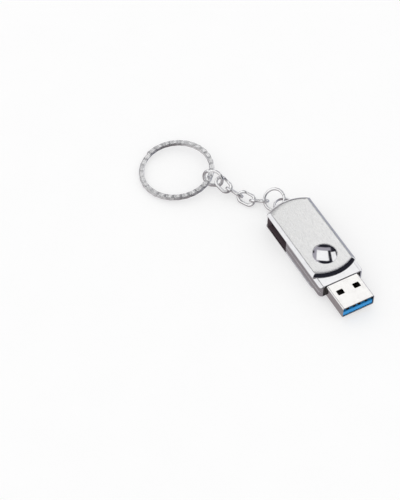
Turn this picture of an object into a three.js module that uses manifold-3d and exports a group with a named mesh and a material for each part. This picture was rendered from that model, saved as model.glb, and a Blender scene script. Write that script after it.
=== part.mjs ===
// USB flash drive with a swivelling metal cover and a short key chain.
// Millimetres, +Z up. The origin is on the swivel axis, at the outer face of the bottom inlay plate.
// +X points to the mouth of the plug, which is swung out of the cover. The key chain lies at -X.
import * as THREE from 'three';
import { mergeVertices } from 'three/addons/utils/BufferGeometryUtils.js';
import Module from 'manifold-3d';

const wasm = await Module();
wasm.setup();

// Clearances
const swivel_clearance = 0.06; // body to cover plates
const fit_clearance = 0.05; // glued and slid-in pieces
const block_clearance = 0.1; // contact block in the rounded sleeve
const pin_clearance = 0.08; // rivet shanks in their holes
const link_slack = 0.12; // between chain links that hang in each other
const eyelet_play = 0.3; // jump ring in front of the eyelet's slot
const end_link_slack = 0.7; // the end link hangs loose on the last small link
const band_slack = 0.3; // key ring in the end link

// Plug, to the size of a standard A plug
const plug_width = 12;
const plug_height = 4.5;
const plug_wall = 0.3;
const plug_corner = 0.55;
const plug_behind_rivet = 1.6; // rear end of the sleeve in front of the rivets' clinched ends
const plug_exposed = 10.3;
const window_length = 2;
const window_width = 2.4;
const window_setback = 6.4; // window centre behind the mouth
const window_spacing = 6.1;
const dimple_radius = 0.45;
const dimple_setback = 1.35;

// Swivelling body
const body_tail_radius = 13.9; // round rear end, centred on the swivel axis
const body_front = 11.1;
const frame_arm = 1.1; // inner frame beside the plug
const body_wall = 1.1;
const roof_thickness = 0.3;
const body_bevel_width = 1.25;
const body_bevel_drop = 0.45;
const body_front_chamfer = 0.2;
const body_corner_radius = 1.2;

// Cover
const plate_thickness = 1;
const plate_overhang = 0.15; // plates beyond the sides of the body
const plate_front = 8.5;
const bay_clearance = 2.675; // between the swinging plug and the bridge wall
const plate_arc_radius = 15.1;
const plate_bevel_width = 1.2;
const plate_bevel_drop = 0.88;
const inlay_thickness = 0.35;
const bridge_setback = 0.3; // bridge wall behind the edge of the plates
const bridge_thickness = 1.3;
const eyelet_half_width = 3.3;
const eyelet_reach = 3.1;
const eyelet_thickness = 1.2;
const eyelet_corner = 2;
const eyelet_bar = 0.9;
const eyelet_slot_length = 2.2;
const eyelet_slot_half_width = 2.4;

// Pivot rivets
const shank_radius = 2.5;
const clinch_radius = 3;
const clinch_thickness = 0.32;
const dished_head_radius = 4;
const dished_head_recess = 0.12;
const dish_radius = 3.45;
const dish_depth = 0.4;
const hidden_head_radius = 3.5;
const hidden_head_thickness = 0.28;

// Electronics
const board_thickness = 0.8;
const board_top_drop = 0.1; // board's top face below the middle of the body
const board_tail_gap = 2.2; // inner frame behind the corners of the board
const board_overlap = 3.3; // length of the board inside the plug sleeve
const ledge_width = 0.9;
const contact_thickness = 0.12;
const contact_setback = 1.7;
const plain_contact_width = 1;
const plain_contact_places = [-3.5, -1, 1, 3.5];
const fast_contact_width = 0.7;
const fast_contact_spacing = 2.3;
const fast_contact_count = 5;
const fast_contact_reach = 5.2;
const fast_contact_rise = 0.7;
const mouth_setback = 0.3; // contact block behind the plug's mouth
const controller_size = [6, 6, 0.85];
const memory_length = 10;
const memory_width = 9;
const memory_clearance = 0.13; // memory chip above the clinched end of the lower rivet
const crystal_size = [2.5, 3.2, 0.7];
const capacitor_size = [0.8, 1.6, 0.6];
const resistor_size = [0.8, 1.6, 0.4];
const rear_row_setback = 2.2; // centres of the rearmost parts in front of the board's rear edge
const row_spacing = 1.6;
const controller_setback = 8;
const memory_setback = 5.8;
const front_row_gap = 1.4; // centres of the foremost parts behind the plug

// Key chain
const jump_ring_radius = 3.65;
const jump_ring_wire = 1;
const jump_ring_takeoff = 38; // degrees round the ring from its far side to the first link
const link_wire = 1.1;
const link_opening_length = 4.8;
const link_opening_width = 2.5;
const end_link_wire = 1.2;
const end_link_opening_length = 6.4;
const end_link_opening_width = 4;
const key_ring_diameter = 26.4;
const key_ring_band = 1.8; // across the flat wire
const key_ring_wire_thickness = 0.62;
const key_ring_turns = 1.92;
const key_ring_gap = 0.08; // between the two turns

// How each piece of the chain lies, in degrees: heading from +X, rise above the table and roll
// about its own length.
const lie = {
  jump_ring: { heading: 202, rise: 1, roll: -40 },
  chain_link_1: { heading: 234, rise: -7, roll: 47 },
  chain_link_2: { heading: 212, rise: 5, roll: -39 },
  chain_link_3: { heading: 213, rise: 11, roll: 51 },
  chain_link_4: { heading: 199, rise: 20, roll: -14 },
  end_link: { heading: 214, rise: -24, roll: -70 },
  split_ring: { heading: 220, rise: -4, roll: -1.5 },
};

// Sizes that follow from the ones above
const body_height = plug_height + 2 * (fit_clearance + roof_thickness);
const total_height = body_height + 2 * (swivel_clearance + plate_thickness);
const middle = total_height / 2;
const cavity_half_height = body_height / 2 - roof_thickness;
const body_half_width = plug_width / 2 + frame_arm + body_wall;
const plate_half_width = body_half_width + plate_overhang;
const plug_mouth = body_front + plug_exposed;
const plug_rear = clinch_radius + plug_behind_rivet;
const swing_radius = Math.hypot(plug_mouth, plug_width / 2);
const plate_rear = -(swing_radius + bay_clearance + bridge_thickness + bridge_setback);
const board_top = middle - board_top_drop;
const board_bottom = board_top - board_thickness;
const board_front = plug_rear + board_overlap;
const board_half_width = plug_width / 2 - plug_wall - fit_clearance;
const frame_tail_radius = body_tail_radius - body_wall - fit_clearance;
const board_rear = board_tail_gap - Math.sqrt(frame_tail_radius ** 2 - board_half_width ** 2);
const clinch_drop = cavity_half_height - fit_clearance - clinch_thickness; // below the middle
const memory_height = clinch_drop - memory_clearance - (middle - board_bottom) - fit_clearance;
const eyelet_end = plate_rear - eyelet_reach;
const eyelet_slot_front = eyelet_end + eyelet_bar + eyelet_slot_length;

// Facets of round shapes
const arc_steps = 14;
const corner_steps = 5;
const cylinder_sides = 40;
const turned_sides = 48;
const wire_sides = 10;
const link_bend_steps = 9;
const ring_steps = 36;
const key_ring_steps = 44; // in each turn

const finishes = {
  polished_chrome: { color: 0xd9dade, metalness: 1, roughness: 0.08 },
  satin_plate: { color: 0xd9d9d7, metalness: 0.9, roughness: 0.42 },
  plug_steel: { color: 0xe6e4e0, metalness: 1, roughness: 0.22 },
  chain_nickel: { color: 0xc9c9cb, metalness: 1, roughness: 0.2 },
  black_plastic: { color: 0x17171a, metalness: 0, roughness: 0.5 },
  blue_plastic: { color: 0x2a8fdc, metalness: 0, roughness: 0.4 },
  contact_gold: { color: 0xd8ad5a, metalness: 1, roughness: 0.25 },
  board_green: { color: 0x1f5a38, metalness: 0, roughness: 0.45 },
  chip_black: { color: 0x202124, metalness: 0, roughness: 0.55 },
  can_metal: { color: 0xbfc2c6, metalness: 1, roughness: 0.3 },
  ceramic_tan: { color: 0xa98358, metalness: 0, roughness: 0.6 },
};

const drive = new THREE.Group();

/** Adds one named piece with its finish. */
function addPiece(name, geometry, finish) {
  const mesh = new THREE.Mesh(geometry, new THREE.MeshStandardMaterial(finishes[finish]));
  mesh.name = name;
  drive.add(mesh);
  return mesh;
}

/** Turns a closed geometry into a solid that can be joined and cut. */
function toSolid(geometry) {
  const bare = geometry.clone();
  bare.deleteAttribute('normal');
  bare.deleteAttribute('uv');
  const merged = mergeVertices(bare);
  const vertProperties = Float32Array.from(merged.attributes.position.array);
  const triVerts = Uint32Array.from(merged.index.array);
  return new wasm.Manifold(new wasm.Mesh({ numProp: 3, vertProperties, triVerts }));
}

/** Turns a solid back into a geometry. */
function toGeometry(solid) {
  const mesh = solid.getMesh();
  const geometry = new THREE.BufferGeometry();
  geometry.setAttribute('position', new THREE.BufferAttribute(mesh.vertProperties, 3));
  geometry.setIndex(new THREE.BufferAttribute(mesh.triVerts, 1));
  geometry.computeVertexNormals();
  return geometry;
}

/** Geometry from plain lists of coordinates and triangle corners. */
function meshOf(position, index) {
  const geometry = new THREE.BufferGeometry();
  geometry.setAttribute('position', new THREE.Float32BufferAttribute(position, 3));
  geometry.setIndex(index);
  geometry.computeVertexNormals();
  return geometry;
}

/** Closed form through outlines at rising heights. Every outline has the same number of points. */
function loft(sections) {
  const count = sections[0].outline.length;
  const position = sections.flatMap(({ outline, z }) => outline.flatMap((p) => [p.x, p.y, z]));
  const index = [];
  for (let level = 0; level < sections.length - 1; level += 1) {
    for (let i = 0; i < count; i += 1) {
      const a = level * count + i;
      const b = level * count + ((i + 1) % count);
      index.push(a, b, b + count, a, b + count, a + count);
    }
  }
  const top = sections.length - 1;
  for (const [a, b, c] of THREE.ShapeUtils.triangulateShape(sections[0].outline, [])) {
    index.push(a, c, b);
  }
  for (const [a, b, c] of THREE.ShapeUtils.triangulateShape(sections[top].outline, [])) {
    index.push(top * count + a, top * count + b, top * count + c);
  }
  return meshOf(position, index);
}

/** Box between two corners. */
function boxBetween(low, high) {
  const size = high.map((value, i) => value - low[i]);
  const centre = high.map((value, i) => (value + low[i]) / 2);
  return new THREE.BoxGeometry(...size).translate(...centre);
}

/** Upright cylinder between two heights. */
function cylinderBetween(radius, low, high, x = 0, y = 0) {
  const geometry = new THREE.CylinderGeometry(radius, radius, high - low, cylinder_sides);
  return geometry.rotateX(Math.PI / 2).translate(x, y, (low + high) / 2);
}

/** Solid of revolution about the swivel axis. The profile runs upwards, from the axis to the axis. */
function turned(profile) {
  const points = profile.map(([radius, z]) => new THREE.Vector2(radius, z));
  return new THREE.LatheGeometry(points, turned_sides).rotateX(Math.PI / 2);
}

/** Points of an arc about (x, y), from one angle to another. */
function arc(x, y, radius, from, to, steps) {
  return Array.from({ length: steps + 1 }, (_, i) => {
    const angle = from + ((to - from) * i) / steps;
    return new THREE.Vector2(x + radius * Math.cos(angle), y + radius * Math.sin(angle));
  });
}

/** Barrel outline of the cover plates: straight sides and bowed ends, set in by inset all round. */
function plateOutline(inset) {
  const radius = plate_arc_radius - inset;
  const spread = Math.asin((plate_half_width - inset) / radius);
  const front = arc(plate_front - plate_arc_radius, 0, radius, -spread, spread, arc_steps);
  const rear = arc(plate_rear + plate_arc_radius, 0, radius, Math.PI - spread, Math.PI + spread, arc_steps);
  return [...front, ...rear];
}

/** Outline of the body: round tail about the swivel axis, straight sides, small front corners. */
function bodyOutline(inset, front_inset = inset) {
  const half_width = body_half_width - inset;
  const tail = body_tail_radius - inset;
  const corner = Math.max(body_corner_radius - inset, 0.2);
  const front = body_front - front_inset;
  const spread = Math.asin(half_width / tail);
  return [
    ...arc(front - corner, -half_width + corner, corner, -Math.PI / 2, 0, corner_steps),
    ...arc(front - corner, half_width - corner, corner, 0, Math.PI / 2, corner_steps),
    ...arc(0, 0, tail, Math.PI - spread, Math.PI + spread, 2 * arc_steps),
  ];
}

/** Rounded rectangle across the plug, as a shape in Y and Z about the middle of the body. */
function plugSection(inset) {
  const half_width = plug_width / 2 - inset;
  const half_height = plug_height / 2 - inset;
  const corner = plug_corner - inset;
  const quarter = Math.PI / 2;
  const corners = [[1, 1], [-1, 1], [-1, -1], [1, -1]];
  return corners.flatMap(([across, up], i) => arc(
    across * (half_width - corner),
    middle + up * (half_height - corner),
    corner,
    i * quarter,
    (i + 1) * quarter,
    corner_steps,
  ));
}

/** Extrudes a shape drawn in Y and Z along X, from one place to another. */
function extrudeAlongX(shape, from, to) {
  const geometry = new THREE.ExtrudeGeometry(shape, { depth: to - from, bevelEnabled: false });
  const axes = new THREE.Matrix4().makeBasis(
    new THREE.Vector3(0, 1, 0),
    new THREE.Vector3(0, 0, 1),
    new THREE.Vector3(1, 0, 0),
  );
  return geometry.applyMatrix4(axes).translate(from, 0, 0);
}

/** One cover plate. Side is 1 for the top plate and -1 for the bottom one. */
function coverPlate(side) {
  const inner = middle + side * (body_height / 2 + swivel_clearance);
  const edge = inner + side * (plate_thickness - plate_bevel_drop);
  const outer = inner + side * plate_thickness;
  const sections = [
    { outline: plateOutline(0), z: inner },
    { outline: plateOutline(0), z: edge },
    { outline: plateOutline(plate_bevel_width), z: outer },
  ];
  return toSolid(loft(side > 0 ? sections : sections.reverse()));
}

/** Prism of an outline between two heights. */
function prism(outline, low, high) {
  return toSolid(loft([{ outline, z: low }, { outline, z: high }]));
}

/** Wall that joins the two plates behind the tail of the body, from corner to corner. */
function bridgeWall() {
  const low = plate_thickness / 2;
  const high = total_height - low;
  const inner_inset = bridge_setback + bridge_thickness;
  const inner_radius = plate_arc_radius - inner_inset;
  const corner_reach = Math.sqrt(inner_radius ** 2 - (plate_half_width - inner_inset) ** 2);
  const bridge_front = plate_rear + plate_arc_radius - corner_reach;
  const span = boxBetween(
    [plate_rear, -plate_half_width, 0],
    [bridge_front, plate_half_width, total_height],
  );
  return prism(plateOutline(bridge_setback), low, high)
    .subtract(prism(plateOutline(inner_inset), 0, total_height))
    .intersect(toSolid(span));
}

/** Cast eyelet at the rear, with an upright slot for the jump ring. */
function eyelet() {
  const low = middle - eyelet_thickness / 2;
  const high = middle + eyelet_thickness / 2;
  const root = plate_rear + bridge_setback + bridge_thickness / 2;
  const outline = [
    new THREE.Vector2(root, -eyelet_half_width),
    new THREE.Vector2(root, eyelet_half_width),
    ...arc(eyelet_end + eyelet_corner, eyelet_half_width - eyelet_corner, eyelet_corner,
      Math.PI / 2, Math.PI, corner_steps),
    ...arc(eyelet_end + eyelet_corner, -eyelet_half_width + eyelet_corner, eyelet_corner,
      Math.PI, 1.5 * Math.PI, corner_steps),
  ];
  return prism(outline, low, high);
}

/** Slot of the eyelet, as a solid to cut away. */
function eyeletSlot() {
  const low = [eyelet_end + eyelet_bar, -eyelet_slot_half_width, middle - eyelet_thickness];
  const high = [eyelet_slot_front, eyelet_slot_half_width, middle + eyelet_thickness];
  return toSolid(boxBetween(low, high));
}

/** Cover frame with pockets for the inlay plates and holes for the rivets. */
function coverFrame() {
  const pocket = plateOutline(plate_bevel_width);
  const shank_hole = cylinderBetween(shank_radius + pin_clearance, -1, total_height + 1);
  const hidden_head_seat = cylinderBetween(
    hidden_head_radius + pin_clearance,
    -1,
    inlay_thickness + hidden_head_thickness + 2 * fit_clearance,
  );
  return coverPlate(1)
    .add(coverPlate(-1))
    .add(bridgeWall())
    .add(eyelet())
    .subtract(eyeletSlot())
    .subtract(prism(pocket, total_height - inlay_thickness, total_height + 1))
    .subtract(prism(pocket, -1, inlay_thickness))
    .subtract(toSolid(shank_hole))
    .subtract(toSolid(hidden_head_seat));
}

/** Inlay plate that fills a pocket of the cover. */
function inlayPlate(low) {
  return prism(plateOutline(plate_bevel_width + fit_clearance), low, low + inlay_thickness);
}

/** Half of the body's case. Side is 1 for the upper shell and -1 for the lower one. */
function bodyShell(side) {
  const rim = middle + (side * fit_clearance) / 2;
  const shoulder = middle + side * (body_height / 2 - body_bevel_drop);
  const roof = middle + (side * body_height) / 2;
  const sections = [
    { outline: bodyOutline(0), z: rim },
    { outline: bodyOutline(0), z: shoulder },
    { outline: bodyOutline(body_bevel_width, body_front_chamfer), z: roof },
  ];
  const cavity = prism(
    bodyOutline(body_wall, -1),
    middle - cavity_half_height,
    middle + cavity_half_height,
  );
  const shank_hole = cylinderBetween(shank_radius + pin_clearance, 0, total_height);
  return toSolid(loft(side > 0 ? sections : sections.reverse()))
    .subtract(cavity)
    .subtract(toSolid(shank_hole));
}

/** Plastic frame that holds the plug and the board inside the shells. */
function innerFrame() {
  const half_height = cavity_half_height - fit_clearance;
  const low = middle - half_height;
  const high = middle + half_height;
  const inner = plug_width / 2 + fit_clearance;
  const block = prism(bodyOutline(body_wall + fit_clearance, mouth_setback), low, high);
  const bay = boxBetween([board_rear - fit_clearance, -inner, 0], [plug_mouth, inner, total_height]);
  const ledges = [-1, 1].map((side) => {
    const outer_face = side * (inner + ledge_width / 2);
    const inner_face = side * (inner - ledge_width);
    return toSolid(boxBetween(
      [board_rear - ledge_width, Math.min(outer_face, inner_face), low],
      [plug_rear - fit_clearance, Math.max(outer_face, inner_face), board_bottom - fit_clearance],
    ));
  });
  return block.subtract(toSolid(bay)).add(ledges[0]).add(ledges[1]);
}

/** Stamped sleeve of the plug with its latch windows and the dimples under its mouth. */
function plugSleeve() {
  const shape = new THREE.Shape(plugSection(0));
  shape.holes.push(new THREE.Path(plugSection(plug_wall).reverse()));
  let sleeve = toSolid(extrudeAlongX(shape, plug_rear, plug_mouth));
  const window_centre = plug_mouth - window_setback;
  for (const side of [-1, 1]) {
    const y = (side * window_spacing) / 2;
    const latch_window = boxBetween(
      [window_centre - window_length / 2, y - window_width / 2, middle],
      [window_centre + window_length / 2, y + window_width / 2, total_height],
    );
    const dimple = cylinderBetween(dimple_radius, 0, middle - plug_height / 2 + plug_wall / 2,
      plug_mouth - dimple_setback, y);
    sleeve = sleeve.subtract(toSolid(latch_window)).subtract(toSolid(dimple));
  }
  return sleeve;
}

/** Contact block in the lower half of the sleeve. */
function contactBlock() {
  const half_width = plug_width / 2 - plug_wall - block_clearance;
  const low = middle - plug_height / 2 + plug_wall + block_clearance;
  return boxBetween(
    [board_front + fit_clearance, -half_width, low],
    [plug_mouth - mouth_setback, half_width, board_top],
  );
}

/** Flat contact strip on the contact block, soldered to the board. */
function plainContact(y) {
  const start = board_front - contact_setback;
  const low = board_top + fit_clearance / 2;
  return boxBetween(
    [start, y - plain_contact_width / 2, low],
    [plug_mouth - contact_setback, y + plain_contact_width / 2, low + contact_thickness],
  );
}

/** Sprung contact that rises in a hump behind the flat ones. */
function fastContact(y) {
  const start = board_front - contact_setback;
  const end = board_front + fast_contact_reach;
  const low = board_top + fit_clearance / 2;
  const hump = fast_contact_rise;
  const rise_start = end - 4 * hump;
  const section = [
    [start, low], [end, low], [end, low + contact_thickness],
    [end - hump, low + hump], [end - 2 * hump, low + hump],
    [rise_start, low + contact_thickness], [start, low + contact_thickness],
  ].map(([x, z]) => new THREE.Vector2(x, z));
  const strip = new THREE.ExtrudeGeometry(new THREE.Shape(section), {
    depth: fast_contact_width,
    bevelEnabled: false,
  });
  return strip.rotateX(Math.PI / 2).translate(0, y + fast_contact_width / 2, 0);
}

/** Small part standing on the board, or hanging under it when below is true. */
function boardPart(x, y, [length, width, height], below = false) {
  const low = below ? board_bottom - fit_clearance - height : board_top + fit_clearance;
  return boxBetween(
    [x - length / 2, y - width / 2, low],
    [x + length / 2, y + width / 2, low + height],
  );
}

/** Upper rivet: dished head in the window, shank through cover and shell, clinched inside. */
function dishedRivet() {
  const clinch_top = middle + cavity_half_height - fit_clearance;
  const rim = total_height - dished_head_recess;
  const seat = total_height - inlay_thickness + fit_clearance;
  const dish = Array.from({ length: 7 }, (_, i) => {
    const share = 1 - i / 6;
    return [dish_radius * share, rim - dish_depth * (1 - share * share)];
  });
  return turned([
    [0, clinch_top - clinch_thickness],
    [clinch_radius, clinch_top - clinch_thickness],
    [clinch_radius, clinch_top],
    [shank_radius, clinch_top],
    [shank_radius, seat],
    [dished_head_radius, seat],
    [dished_head_radius, rim - fit_clearance],
    [dished_head_radius - fit_clearance, rim],
    ...dish,
  ]);
}

/** Lower rivet: flat head hidden under the plain inlay plate. */
function hiddenRivet() {
  const head_low = inlay_thickness + fit_clearance;
  const clinch_low = middle - cavity_half_height + fit_clearance;
  return turned([
    [0, head_low],
    [hidden_head_radius, head_low],
    [hidden_head_radius, head_low + hidden_head_thickness],
    [shank_radius, head_low + hidden_head_thickness],
    [shank_radius, clinch_low],
    [clinch_radius, clinch_low],
    [clinch_radius, clinch_low + clinch_thickness],
    [0, clinch_low + clinch_thickness],
  ]);
}

/** Oval loop of round wire, lying in X and Y about the origin with its length along X. */
function ovalLink({ wire, opening_length, opening_width }) {
  const end = (opening_width + wire) / 2;
  const reach = (opening_length - opening_width) / 2;
  const path = [
    ...arc(reach, 0, end, -Math.PI / 2, Math.PI / 2, link_bend_steps),
    ...arc(-reach, 0, end, Math.PI / 2, 1.5 * Math.PI, link_bend_steps),
  ];
  const position = [];
  const index = [];
  path.forEach((point, i) => {
    const outward = point.clone().sub(new THREE.Vector2(Math.sign(point.x) * reach, 0)).normalize();
    for (let k = 0; k < wire_sides; k += 1) {
      const angle = (2 * Math.PI * k) / wire_sides;
      const out = (wire / 2) * Math.cos(angle);
      position.push(point.x + outward.x * out, point.y + outward.y * out, (wire / 2) * Math.sin(angle));
      const a = i * wire_sides + k;
      const b = i * wire_sides + ((k + 1) % wire_sides);
      const next = (((i + 1) % path.length) - i) * wire_sides;
      index.push(a, a + next, b + next, a, b + next, b);
    }
  });
  return meshOf(position, index);
}

/** Two turns of flat wire about Z, one on the other, crossing half way. */
function splitRing() {
  const outer = key_ring_diameter / 2;
  const inner = outer - key_ring_band;
  const half = key_ring_wire_thickness / 2;
  const pitch = key_ring_wire_thickness + key_ring_gap;
  const steps = Math.round(key_ring_steps * key_ring_turns);
  const chamfer = half / 2;
  const section = [
    [inner, -half], [outer - chamfer, -half], [outer, -half + chamfer],
    [outer, half - chamfer], [outer - chamfer, half], [inner, half],
  ];
  const position = [];
  const index = [];
  for (let i = 0; i <= steps; i += 1) {
    const turn = (key_ring_turns * i) / steps;
    const angle = 2 * Math.PI * (turn - key_ring_turns / 2);
    const height = pitch * (turn - key_ring_turns / 2);
    for (const [radius, z] of section) {
      position.push(radius * Math.cos(angle), radius * Math.sin(angle), z + height);
    }
  }
  const count = section.length;
  for (let i = 0; i < steps; i += 1) {
    for (let k = 0; k < count; k += 1) {
      const a = i * count + k;
      const b = i * count + ((k + 1) % count);
      index.push(a, b + count, b, a, a + count, b + count);
    }
  }
  for (let k = 1; k < count - 1; k += 1) {
    index.push(0, k, k + 1);
    index.push(steps * count, steps * count + k + 1, steps * count + k);
  }
  return meshOf(position, index);
}

/** Turns a chain piece the way it lies and returns the direction of its length. */
function layPiece(mesh, { heading, rise, roll }) {
  const radians = THREE.MathUtils.degToRad;
  mesh.rotation.set(radians(roll), -radians(rise), radians(heading), 'ZYX');
  return new THREE.Vector3(1, 0, 0).applyEuler(mesh.rotation);
}

// Cover
addPiece('cover_frame', toGeometry(coverFrame()), 'polished_chrome');
const window_hole = cylinderBetween(dished_head_radius + pin_clearance, middle, total_height + 1);
const top_inlay = inlayPlate(total_height - inlay_thickness).subtract(toSolid(window_hole));
addPiece('top_inlay_plate', toGeometry(top_inlay), 'satin_plate');
addPiece('bottom_inlay_plate', toGeometry(inlayPlate(0)), 'satin_plate');

// Body
addPiece('upper_shell', toGeometry(bodyShell(1)), 'polished_chrome');
addPiece('lower_shell', toGeometry(bodyShell(-1)), 'polished_chrome');
addPiece('pivot_rivet_upper', dishedRivet(), 'polished_chrome');
addPiece('pivot_rivet_lower', hiddenRivet(), 'polished_chrome');
addPiece('inner_frame', toGeometry(innerFrame()), 'black_plastic');
addPiece('plug_sleeve', toGeometry(plugSleeve()), 'plug_steel');
addPiece('contact_block', contactBlock(), 'blue_plastic');
plain_contact_places.forEach((y, i) => {
  addPiece(`plain_contact_${i + 1}`, plainContact(y), 'contact_gold');
});
for (let i = 0; i < fast_contact_count; i += 1) {
  const y = (i - (fast_contact_count - 1) / 2) * fast_contact_spacing;
  addPiece(`fast_contact_${i + 1}`, fastContact(y), 'contact_gold');
}

// Board and what is soldered to it
const board = boxBetween(
  [board_rear, -board_half_width, board_bottom],
  [board_front, board_half_width, board_top],
);
addPiece('circuit_board', board, 'board_green');
const rear_row = board_rear + rear_row_setback;
const front_row = plug_rear - front_row_gap;
const controller = boardPart(board_rear + controller_setback, 0, controller_size);
const memory_size = [memory_length, memory_width, memory_height];
const memory = boardPart(board_rear + memory_setback, 0, memory_size, true);
addPiece('controller_chip', controller, 'chip_black');
addPiece('memory_chip', memory, 'chip_black');
addPiece('crystal_can', boardPart(rear_row, 2.6, crystal_size), 'can_metal');
[[rear_row, -3.6], [rear_row + row_spacing, -3.6], [front_row, 4.2]].forEach(([x, y], i) => {
  addPiece(`capacitor_${i + 1}`, boardPart(x, y, capacitor_size), 'ceramic_tan');
});
[[rear_row, -1], [front_row, -4.2]].forEach(([x, y], i) => {
  addPiece(`resistor_${i + 1}`, boardPart(x, y, resistor_size), 'chip_black');
});

// Key chain: each piece hangs in the wire of the one before it
const jump_ring = addPiece(
  'jump_ring',
  new THREE.TorusGeometry(jump_ring_radius, jump_ring_wire / 2, wire_sides, ring_steps),
  'chain_nickel',
);
const ring_near_end = eyelet_slot_front - eyelet_play - jump_ring_wire / 2;
const ring_direction = layPiece(jump_ring, lie.jump_ring);
jump_ring.position.set(ring_near_end, 0, middle).addScaledVector(ring_direction, jump_ring_radius);

const takeoff = THREE.MathUtils.degToRad(jump_ring_takeoff);
const hang_point = new THREE.Vector3(Math.cos(takeoff), Math.sin(takeoff), 0)
  .multiplyScalar(jump_ring_radius)
  .applyEuler(jump_ring.rotation)
  .add(jump_ring.position);
const small_link = {
  wire: link_wire,
  opening_length: link_opening_length,
  opening_width: link_opening_width,
  slack: link_slack,
};
const large_link = {
  wire: end_link_wire,
  opening_length: end_link_opening_length,
  opening_width: end_link_opening_width,
  slack: end_link_slack,
};
const links = {
  chain_link_1: small_link,
  chain_link_2: small_link,
  chain_link_3: small_link,
  chain_link_4: small_link,
  end_link: large_link,
};
const end_direction = new THREE.Vector3();
let held_wire = jump_ring_wire;
for (const [name, size] of Object.entries(links)) {
  const link = addPiece(name, ovalLink(size), 'chain_nickel');
  end_direction.copy(layPiece(link, lie[name]));
  const centre_reach = size.opening_length / 2 - held_wire / 2 - size.slack;
  link.position.copy(hang_point).addScaledVector(end_direction, centre_reach);
  hang_point.copy(link.position).addScaledVector(end_direction, (size.opening_length + size.wire) / 2);
  held_wire = size.wire;
}

const split_ring = addPiece('split_ring', splitRing(), 'chain_nickel');
const band_back = end_link_wire / 2 + key_ring_band / 2 + band_slack;
const key_ring_direction = layPiece(split_ring, lie.split_ring);
split_ring.position
  .copy(hang_point)
  .addScaledVector(end_direction, -band_back)
  .addScaledVector(key_ring_direction, (key_ring_diameter - key_ring_band) / 2);

export default drive;
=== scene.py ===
"""Swivel usb flash drive with a polished bevelled cover, a short chain and a split key ring.

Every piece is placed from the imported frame. Sizes are in metres, in the frame's own axes: +X runs to
the mouth of the plug, +Y to its left and +Z up.
"""

from __future__ import annotations

import logging
import math
from dataclasses import dataclass
from enum import Enum
from typing import Any, Iterable, Sequence

import bmesh
import bpy
import numpy as np
from mathutils import Matrix, Vector


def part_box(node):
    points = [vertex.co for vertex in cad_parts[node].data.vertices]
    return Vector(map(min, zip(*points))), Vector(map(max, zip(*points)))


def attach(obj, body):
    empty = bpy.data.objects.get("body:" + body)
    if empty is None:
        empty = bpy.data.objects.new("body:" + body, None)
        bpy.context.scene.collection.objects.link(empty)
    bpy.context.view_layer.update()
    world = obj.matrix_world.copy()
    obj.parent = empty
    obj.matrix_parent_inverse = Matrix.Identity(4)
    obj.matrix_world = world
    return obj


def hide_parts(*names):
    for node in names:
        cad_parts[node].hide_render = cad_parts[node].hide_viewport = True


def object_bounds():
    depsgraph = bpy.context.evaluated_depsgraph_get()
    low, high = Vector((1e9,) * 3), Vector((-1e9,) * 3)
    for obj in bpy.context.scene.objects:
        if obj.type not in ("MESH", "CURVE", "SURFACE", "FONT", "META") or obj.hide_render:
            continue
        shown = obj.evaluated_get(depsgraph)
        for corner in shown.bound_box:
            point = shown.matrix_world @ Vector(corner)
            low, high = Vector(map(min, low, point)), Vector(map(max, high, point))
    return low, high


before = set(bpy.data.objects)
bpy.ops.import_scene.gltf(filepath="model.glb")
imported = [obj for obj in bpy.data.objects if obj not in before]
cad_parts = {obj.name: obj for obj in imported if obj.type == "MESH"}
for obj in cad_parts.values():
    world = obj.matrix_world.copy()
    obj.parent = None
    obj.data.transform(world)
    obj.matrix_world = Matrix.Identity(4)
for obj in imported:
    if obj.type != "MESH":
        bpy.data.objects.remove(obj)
CAD_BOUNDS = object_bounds()

log = logging.getLogger("flash_drive")
MM = 0.001
SLACK = 0.02 * MM
WELD = 1e-7
CENTRE_BAND = 1e-6
CHAIN_LINKS = ("chain_link_1", "chain_link_2", "chain_link_3", "chain_link_4")
Ring = tuple[np.ndarray, float]
Colour = tuple[float, float, float]
Corner = Sequence[float]
Profile = Sequence[tuple[float, float]]


# ---------------------------------------------------------------------------------------------
# Node trees
# ---------------------------------------------------------------------------------------------


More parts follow.
